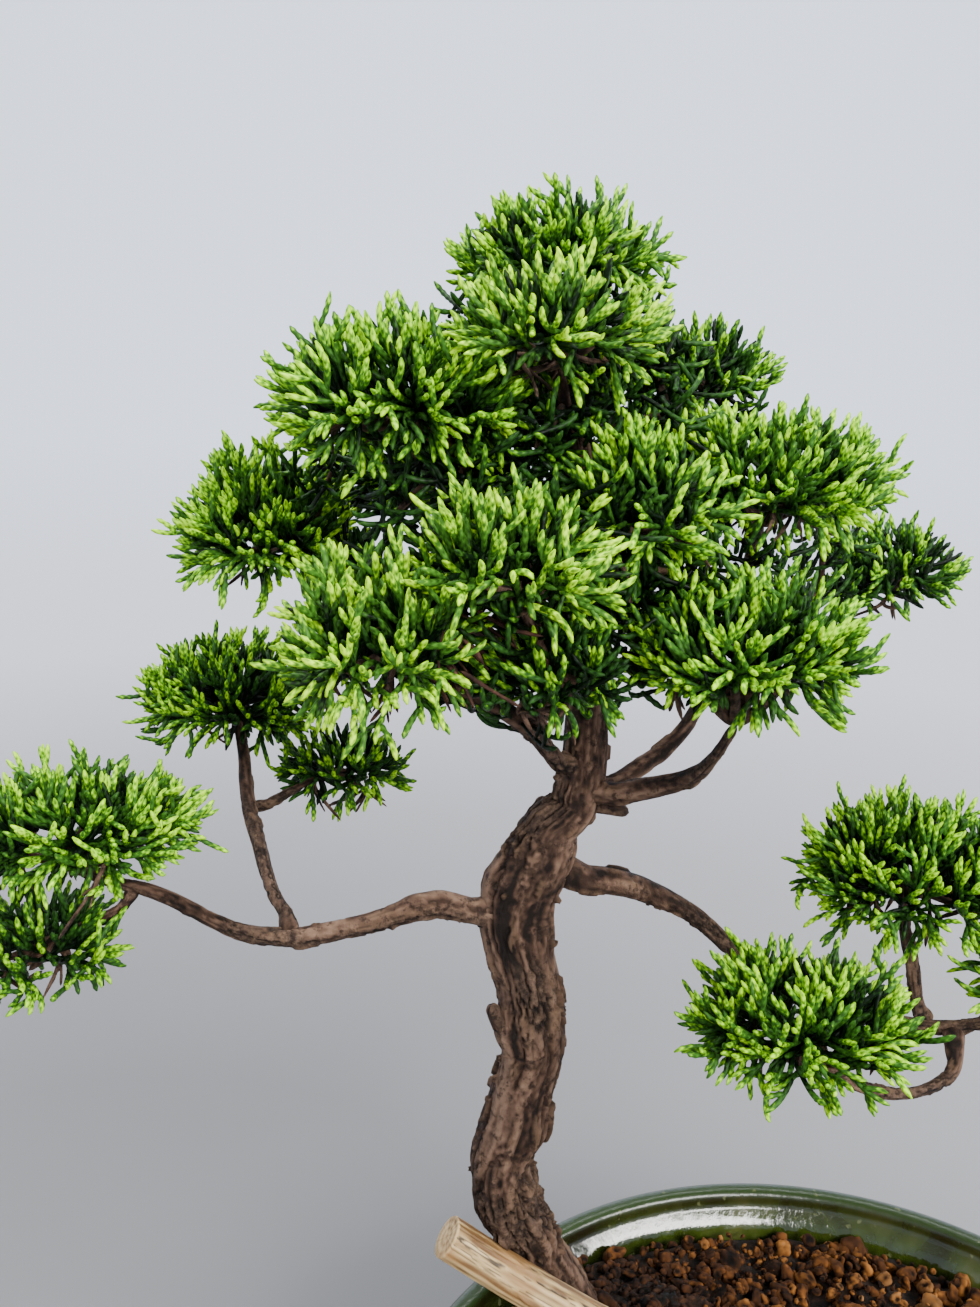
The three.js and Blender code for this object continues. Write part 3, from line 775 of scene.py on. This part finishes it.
for number, (name, (carrier, material)) in enumerate(clusters.items()):
    rng = np.random.default_rng(500 + number)
    low, high = (np.array(corner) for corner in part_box(f"foliage_{name}"))
    middle, half = (low + high) / 2, (high - low) / 2
    middle[2] -= 0.12 * half[2]
    spray = Spray()
    carried = spines[carrier][:, :3]
    joint = carried[np.argmin(np.linalg.norm(carried - middle, axis=1))]
    tufts = []
    tuft_count = int(5 + half[0] * half[1] / area_per_tuft)
    for k in range(tuft_count):
        angle = 2.4 * k + rng.uniform(-0.4, 0.4)
        reach = 0.52 * math.sqrt((k + 0.5) / tuft_count)
        drop = rng.uniform(-0.42, -0.12)
        tuft = np.array([reach * math.cos(angle), reach * math.sin(angle), drop])
        tufts.append(middle + half * tuft)
    for tuft in tufts:
        bend = (joint + tuft) / 2 + np.array([0, 0, -0.12]) * np.linalg.norm(tuft - joint)
        if np.linalg.norm(tuft - joint) > shortest_twig:
            add_twig((joint, bend, tuft), (1.0, 0.85, 0.7))
    for tuft in tufts[::2]:
        bend = tuft + np.append(rng.normal(0, 2.5, 2), -2.5) * MM
        for _ in range(3):
            end = bend + np.append(rng.normal(0, 3.5, 2), rng.uniform(-6, 0)) * MM
            row = [np.append(p, r) for p, r in ((tuft, 0.5 * MM), (bend, 0.42 * MM), (end, 0.25 * MM))]
            twig_tubes.append(bark_tube(row, 8, 0.6 * MM, 0.6 * MM, 900 + len(twig_tubes)))
    tufts = np.array(tufts)
    a, b, c = half
    power = 1.6  # the usual one for the area of an egg shape
    mean = ((a * b) ** power + (a * c) ** power + (b * c) ** power) / 3
    surface = 4 * math.pi * mean ** (1 / power)
    count = int(surface / area_per_cord)
    for k in range(count):
        height = 1 - 2 * (k + 0.5) / count
        inner = k % 5 in (1, 3)
        if height < (-0.6 if inner else -0.75):
            continue
        angle = golden_turn * k
        flat = math.sqrt(1 - height * height)
        outward = np.array([flat * math.cos(angle), flat * math.sin(angle), height])
        outward = outward + rng.normal(0, 0.09, 3)
        depth = rng.uniform(0.55, 0.82) if inner else rng.uniform(0.84, 1.07)
        target = middle + half * unit(outward) * depth
        halfway = middle + 0.5 * (target - middle)
        base = tufts[np.argmin(np.linalg.norm(tufts - halfway, axis=1))]
        base = base + rng.normal(0, 0.8 * MM, 3)
        normal = unit((target - middle) / half)
        flatwards = np.array([normal[0], normal[1], 0.0])
        lift = 0.65 if height > -0.15 else rng.choice([0.3, -0.6])
        final = unit(0.75 * normal + lift * up + rng.normal(0, 0.27, 3))
        length = np.linalg.norm(target - base)
        start = unit(0.8 * flatwards + unit(target - base) * 0.8 + rng.normal(0, 0.15, 3))
        line = cord_line(base, start, target, final, length, 0.38, 40)
        # Inner cords start older and so darker: partly their age, partly painted shade deep in the
        # cluster.
        age = rng.uniform(0.16, 0.40) if inner else rng.uniform(-0.04, 0.08)
        spray.add(line, cord_radius * rng.uniform(0.88, 1.08), age, rng)
        steps = len(line)
        sideways = unit(np.cross(final, rng.standard_normal(3)))
        shoots = max(2, int(length / shoot_spacing))
        for j in range(shoots):
            share = 0.28 + 0.60 * (j + rng.uniform(0.1, 0.9)) / shoots
            i = min(steps - 2, int(share * steps))
            heading = unit(line[i + 1] - line[i])
            hand = 1 if j % 2 else -1
            lean = unit(heading + hand * sideways * rng.uniform(0.7, 1.2) + rng.normal(0, 0.12, 3))
            side_length = rng.uniform(0.8, 1.2) * (11.5 - 6.5 * share) * MM
            finish = unit(0.9 * final + 0.5 * lean + rng.normal(0, 0.1, 3))
            root = line[i]
            tip = root + (lean * 0.58 + finish * 0.42) * side_length
            shoot = cord_line(root, lean, tip, finish, side_length, 0.33, 16)
            shoot_age = age + rng.uniform(-0.03, 0.12)
            spray.add(shoot, cord_radius * rng.uniform(0.85, 1.05), shoot_age, rng)
            if side_length > forking_length:
                i = int(0.4 * len(shoot))
                away = unit(shoot[i + 1] - shoot[i]) - hand * sideways * 0.7
                away = unit(away + rng.normal(0, 0.15, 3))
                small = side_length * rng.uniform(0.4, 0.6)
                tip = shoot[i] + (away * 0.5 + finish * 0.5) * small
                fork = cord_line(shoot[i], away, tip, finish, small, 0.3, 8)
                spray.add(fork, cord_radius * 0.92, shoot_age, rng)
    add_leaves(f"leaves_{name}", spray, material, [f"foliage_{name}"])


# ---- Shade leaves and leafy twigs ---------------------------------------------------------
# Sparse cords on short twigs in the gaps between neighbouring clusters of the crown, darker with painted
# shade.
# The thin twigs that bear these cords and the clusters' cords are one piece, in the bark.

rng = np.random.default_rng(77)
crown_reach, crown_depth = 85 * MM, 75 * MM  # sideways and down from the trunk's top
widest_gap = 62 * MM
cords_per_gap = 34
crown_middles = [np.array(middle) for middle in (box_middle(f"foliage_{name}") for name in clusters)
                 if abs(middle.x - trunk_spine[-1, 0]) < crown_reach
                 and middle.z > trunk_spine[-1, 2] - crown_depth]
wood = np.concatenate([spine[:, :3] for spine in spines.values()])
for number, first in enumerate(crown_middles):
    filling = Spray()
    for second in crown_middles[number + 1:]:
        if np.linalg.norm(first - second) > widest_gap:
            continue
        between = (first + second) / 2 + np.array([0, 6, -3]) * MM
        joint = wood[np.argmin(np.linalg.norm(wood - between, axis=1))]
        if np.linalg.norm(between - joint) > shortest_twig:
            add_twig((joint, (joint + between) / 2, between), (0.9, 0.8, 0.6))
        for _ in range(cords_per_gap):
            root = between + rng.normal(0, 3 * MM, 3)
            lean = unit(rng.standard_normal(3))
            lean[2] = max(lean[2], -0.3)
            length = rng.uniform(6, 12) * MM
            final = unit(lean + 0.7 * up + rng.normal(0, 0.3, 3))
            line = cord_line(root, lean, root + lean * length, final, length, 0.35, 24)
            filling.add(line, cord_radius * 0.95, rng.uniform(0.06, 0.30), rng)
    if filling.count:
        add_leaves(f"shade_leaves_{number + 1}", filling, shaded)
add_tubes("leafy_twigs", twig_tubes, bark, [])


# ---- Dry twigs ----------------------------------------------------------------------------
# A tangle of dead needle-thin twigs, red brown and brittle, left in the shade below the front
# clusters where no light reaches them.

dry_wood, tree, shader = start_material("dry_twigs", Roughness=0.8, Specular_IOR_Level=0.2)
place = object_place(tree)
tree.links.new(ramp(tree, noise(tree, place, 500, 5), [
    (0.35, (0.014, 0.006, 0.004)), (0.55, (0.048, 0.020, 0.012)), (0.75, (0.130, 0.060, 0.036)),
]), shader.inputs["Base Color"])
between = (box_middle("foliage_left_front") + box_middle("foliage_centre_low")) / 2
dry_root = np.array(between) + np.array([-4, -2, 2]) * MM
dry_count = 36
dry_tubes = []
for number in range(dry_count):
    start = dry_root + rng.normal(0, (5 * MM, 3 * MM, 3 * MM))
    lean = unit(np.array([rng.normal(0.2, 0.8), rng.normal(-0.2, 0.4), -rng.uniform(0.1, 1)]))
    turned = unit(lean + rng.normal(0, 0.3, 3))
    length = rng.uniform(3, 7) * MM
    needle = np.stack([start, start + lean * length, start + (lean + turned) * length])
    needle = np.column_stack([needle, np.array([0.42, 0.35, 0.22]) * MM])
    dry_tubes.append(bark_tube(needle, 8, 0.6 * MM, 0.6 * MM, 1500 + number))
add_tubes("dry_twigs", dry_tubes, dry_wood, [])


# ---- Inner leaves -------------------------------------------------------------------------
# Older cords that grow straight from the upper trunk and from the outer part of the crown's
# branches, behind the clusters, darker partly for their age and partly with painted shade.
# Each stem's cords are a piece of their own.

for name in ("trunk", "front_left_branch", "front_branch", "left_middle_branch", "upper_left_branch",
             "upper_right_branch", "upper_back_branch", "inner_right_branch", "back_left_branch",
             "back_right_branch", "far_right_branch"):
    inner = Spray()
    stem = smooth_curve(spines[name], 1.7 * MM)
    low_start = stem[0, 2] < trunk_spine[-1, 2] - 90 * MM  # it climbs to the crown with no leaves
    bare = 0.70 if name == "trunk" else 0.80 if low_start else 0.35
    for i in range(int(bare * len(stem)), len(stem) - 1):
        for _ in range(2):
            along = unit(stem[i + 1, :3] - stem[i, :3])
            lean = unit(np.cross(along, rng.standard_normal(3)) + 0.5 * along + 0.3 * up)
            lean[2] = max(lean[2], -0.15)
            length = rng.uniform(8, 15) * MM
            root = stem[i, :3]
            tip = root + unit(lean + 0.35 * up + rng.normal(0, 0.2, 3)) * length
            final = unit(lean + 0.8 * up + rng.normal(0, 0.2, 3))
            line = cord_line(root, lean, tip, final, length, 0.35, 24)
            age = rng.uniform(0.10, 0.40)
            inner.add(line, cord_radius * rng.uniform(0.85, 1.0), age, rng)
            for share in (0.45, 0.65):
                start = line[int(share * len(line))]
                away = unit(final + rng.normal(0, 0.55, 3))
                small = (1.1 - share) * length
                shoot = bezier(start, start + away * small * 0.3, start + away * small * 0.6,
                               start + unit(away + 0.5 * up) * small, 12)
                inner.add(smooth_curve(shoot, scale_pitch, 0), cord_radius * 0.9, age, rng)
    add_leaves(f"inner_leaves_{name}", inner, shaded)


# ---- Soil ---------------------------------------------------------------------------------
# Fired clay grains, rust brown and porous, 3 to 7 mm across, with crumbs between them. They
# lie loose in the bowl, heaped at the foot of the trunk.

grain_clay, tree, shader = start_material("fired_clay", Roughness=0.95, Specular_IOR_Level=0.2)
uv = node(tree, "ShaderNodeUVMap", uv_map="OFBake").outputs["UV"]
parts = node(tree, "ShaderNodeSeparateXYZ", {"Vector": uv})
kinds = ramp(tree, parts.outputs["X"], [
    (0.00, (0.012, 0.005, 0.002)), (0.25, (0.040, 0.014, 0.004)), (0.55, (0.115, 0.040, 0.008)),
    (0.80, (0.250, 0.095, 0.018)), (1.00, (0.230, 0.110, 0.040)),
])
# Painted shade: each grain is darkened where its surface dips and lightened on its bumps.
cavity_shade = ramp(tree, parts.outputs["Y"], [(0.15, 0.06), (0.5, 0.62), (1.0, 1.35)])
tree.links.new(mix(tree, 1.0, kinds, cavity_shade, "MULTIPLY"), shader.inputs["Base Color"])

# The bed is darker than the grains: partly the soil's own dark brown, partly painted shade in the gaps
# between the grains.
bed_clay, tree, shader = start_material("soil_between_grains", Roughness=1.0)
place = object_place(tree)
tree.links.new(ramp(tree, noise(tree, place, 380, 6, 0.7), [
    (0.40, (0.002, 0.001, 0.000)), (0.6, (0.022, 0.009, 0.003)), (0.8, (0.070, 0.027, 0.008)),
]), shader.inputs["Base Color"])
bump(tree, shader, noise(tree, place, 700, 6), 0.0008, 1.0)

soil_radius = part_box("soil")[1].x
soil_edge = pot_high.z - 8.2 * MM  # where the grains meet the wall
foot_level = pot_high.z - 6 * MM
foot_heap = 22 * MM  # how far the heap at the trunk's foot spreads
foot_damp = 26 * MM  # and the damp beside it
foot = trunk_spine[np.argmin(np.abs(trunk_spine[:, 2] - foot_level)), :3]
rng = np.random.default_rng(11)
heap_count = 34
heap_turn = rng.uniform(0, 2 * math.pi, heap_count)
heap_reach = np.sqrt(rng.uniform(0.1, 1, heap_count)) * soil_radius
heap_rise = rng.uniform(1.0, 4.0, heap_count) * MM
heap_width = rng.uniform(5, 11, heap_count) * MM
heaps = list(zip(heap_reach * np.cos(heap_turn), heap_reach * np.sin(heap_turn), heap_rise, heap_width))


def soil_top(x, y):
    """Height of the soil: a low crown, heaped at the foot of the trunk, with small loose heaps."""
    from_centre = np.hypot(x, y) / soil_radius
    from_trunk = np.hypot(x - foot[0], y - foot[1]) / foot_heap
    level = soil_edge + 2.5 * MM * (1 - from_centre ** 2) + 6 * MM * np.exp(-from_trunk ** 2)
    for heap_x, heap_y, rise, width in heaps:
        level = level + rise * np.exp(-((x - heap_x) ** 2 + (y - heap_y) ** 2) / width ** 2)
    return level


bed_sides = 160
bed_drop = 2.2 * MM  # how far the bed lies under the top of the grains
bed_bottom = soil_edge - 12 * MM
bed_rings = np.linspace(0.02, 1, 60)[::-1] * inner_wall
turn = np.linspace(0, 2 * math.pi, bed_sides, endpoint=False)
x = bed_rings[:, None] * np.cos(turn)
y = bed_rings[:, None] * np.sin(turn)
z = soil_top(x, y) - bed_drop + 0.5 * MM * blurred(x.shape, 0.8, 0.8, rng)
top = np.stack([x, y, z], -1)
skirt = top[:1].copy()
skirt[..., 2] = bed_bottom
hubs = [[0, 0, bed_bottom], [0, 0, float(soil_top(0, 0)) - bed_drop]]
points = np.concatenate([np.concatenate([skirt, top]).reshape(-1, 3), hubs])
rows = len(bed_rings) + 1
add_piece("soil_bed", points, ring_faces(rows, bed_sides), closing_fans(rows, bed_sides), bed_clay,
          ["soil"])


def grain_shapes(kinds, subdivisions, rng):
    """Lumpy pebble shapes of unit size: points, faces and a mask that is low where the surface dips,
    which the grain material turns into painted shade.
    """
    bpy.ops.mesh.primitive_ico_sphere_add(subdivisions=subdivisions, radius=1)
    ball = bpy.context.object
    corners = np.array([v.co for v in ball.data.vertices])
    faces = np.array([f.vertices for f in ball.data.polygons])
    bpy.data.objects.remove(ball)
    bump_count = 26
    shapes = []
    for _ in range(kinds):
        bumps = rng.standard_normal((bump_count, 3))
        bumps /= np.linalg.norm(bumps, axis=1)[:, None]
        sharp = rng.uniform(4, 22, bump_count)
        size = rng.uniform(-0.48, 0.46, bump_count)
        relief = (size * np.exp(sharp * (corners @ bumps.T - 1))).sum(1)
        relief = relief + rng.normal(0, 0.06, len(corners))
        flat = rng.uniform(0.62, 1.15, 3)
        shapes.append((corners * (1 + relief)[:, None] * flat, np.clip(0.5 + 1.5 * relief, 0.02, 0.98)))
    return shapes, faces


kinds_of_grain = 14


def scatter_grains(name, count, radii, subdivisions, sink, seed):
    """Grains laid at random over the soil, a little sunk into the layer below."""
    rng = np.random.default_rng(seed)
    shapes, faces = grain_shapes(kinds_of_grain, subdivisions, rng)
    points, triangles, uvs = [], [], []
    total = 0
    limit = lip_radius - 11.6 * MM
    for k in range(count):
        away = limit * math.sqrt((k + 0.5) / count)
        angle = golden_turn * k + rng.uniform(-0.3, 0.3)
        x = away * math.cos(angle) + rng.normal(0, 1 * MM)
        y = away * math.sin(angle) + rng.normal(0, 1 * MM)
        size = rng.uniform(*radii) * (0.75 + 0.5 * rng.random() ** 3)
        corners, mask = shapes[rng.integers(len(shapes))]
        w, i, j, l = unit(rng.standard_normal(4))
        spin = np.array([
            [1 - 2 * (j * j + l * l), 2 * (i * j - l * w), 2 * (i * l + j * w)],
            [2 * (i * j + l * w), 1 - 2 * (i * i + l * l), 2 * (j * l - i * w)],
            [2 * (i * l - j * w), 2 * (j * l + i * w), 1 - 2 * (i * i + j * j)]])
        z = soil_top(x, y) + rng.uniform(-1, 0.5) * sink * MM
        points.append(corners @ spin.T * size + [x, y, z])
        triangles.append(faces + total)
        from_damp = (x - foot[0] - 12 * MM) ** 2 + (y - foot[1]) ** 2
        damp = 1 - 0.85 * math.exp(-from_damp / foot_damp ** 2)
        shade = np.clip(damp * rng.beta(2.0, 2.2) + rng.normal(0, 0.09, len(corners)), 0.01, 0.99)
        uvs.append(np.stack([shade, mask], 1))
        total += len(corners)
    points, triangles = np.concatenate(points), np.concatenate(triangles)
    grains = add_piece(name, points, [], triangles, grain_clay)
    set_uv(grains, np.concatenate(uvs))


scatter_grains("large_grains", 600, (1.9 * MM, 3.4 * MM), 3, 1.6, 31)
scatter_grains("middling_grains", 600, (1.4 * MM, 2.6 * MM), 3, 2.0, 34)
scatter_grains("small_grains", 2450, (0.9 * MM, 1.7 * MM), 2, 1.8, 32)
scatter_grains("clay_crumbs", 2450, (0.6 * MM, 1.2 * MM), 2, 2.2, 33)


# ---- Studio -------------------------------------------------------------------------------
# A pale floor whose rim sweeps up all round like a dish, under soft light: a broad window from
# the front right, a skylight above on the left, a wash on the sweep at the back and an even sky.

sweep_paint, tree, shader = start_material("pale_sweep", Roughness=0.95, Specular_IOR_Level=0.1)
place = object_place(tree)
# Painted shade on the floor: dark grey around a point to the left of and behind the pot, paling outwards
# to the sweep.
moved = node(tree, "ShaderNodeVectorMath", {0: place, 1: (0.20, -0.10, 0)}, operation="ADD")
away = node(tree, "ShaderNodeVectorMath", {0: moved.outputs["Vector"]}, operation="LENGTH")
painted_shade_fade = map_range(tree, away.outputs["Value"], From_Min=0.15, From_Max=2.2)
tree.links.new(ramp(tree, painted_shade_fade, [
    (0.0, (0.16, 0.162, 0.166)), (0.14, (0.27, 0.27, 0.282)), (0.36, (0.50, 0.50, 0.54)),
    (1.0, (0.70, 0.74, 0.82)),
]), shader.inputs["Base Color"])
floor_sides = 96
sweep_profile = smooth_curve([
    (0.02, 0), (1.0, 0), (1.9, 0), (2.5, 0.15), (2.9, 0.7), (3.0, 1.6), (3.0, 2.6),
], 0.1, 3)
turn = np.linspace(0, 2 * math.pi, floor_sides, endpoint=False)
points = turned_points(sweep_profile[:, :1], sweep_profile[:, 1:], turn)
mesh = bpy.data.meshes.new("studio_floor")
middle_face = list(range(floor_sides))[::-1]
faces = ring_faces(len(sweep_profile), floor_sides).tolist() + [middle_face]
mesh.from_pydata(points.tolist(), [], faces)
mesh.polygons.foreach_set("use_smooth", np.full(len(mesh.polygons), True))
mesh.materials.append(sweep_paint)
floor = bpy.data.objects.new("studio_floor", mesh)
bpy.context.scene.collection.objects.link(floor)


def soft_light(name, place, aim, size, power, colour):
    """A rectangular lamp that faces a point."""
    data = bpy.data.lights.new(name, "AREA")
    data.shape = "RECTANGLE"
    data.size, data.size_y = size
    data.energy = power
    data.color = colour
    light = bpy.data.objects.new(name, data)
    light.location = place
    light.rotation_euler = (Vector(aim) - Vector(place)).to_track_quat("-Z", "Y").to_euler()
    bpy.context.scene.collection.objects.link(light)


crown = (-0.05, 0.05, 0.20)
soft_light("window", (0.80, -1.15, 1.05), crown, (1.3, 0.45), 62, (1.0, 0.98, 0.95))
soft_light("skylight", (-0.55, 0.0, 1.7), crown, (0.7, 0.7), 42, (0.98, 0.98, 1.0))
soft_light("wall_wash", (0, 0.9, 2.2), (0, 2.9, 0.8), (2.4, 0.6), 72, (0.97, 0.98, 1.0))
world = bpy.data.worlds.new("even_sky")
world.use_nodes = True
world.node_tree.nodes["Background"].inputs["Color"].default_value = (0.92, 0.94, 1.0, 1)
world.node_tree.nodes["Background"].inputs["Strength"].default_value = 0.5
bpy.context.scene.world = world
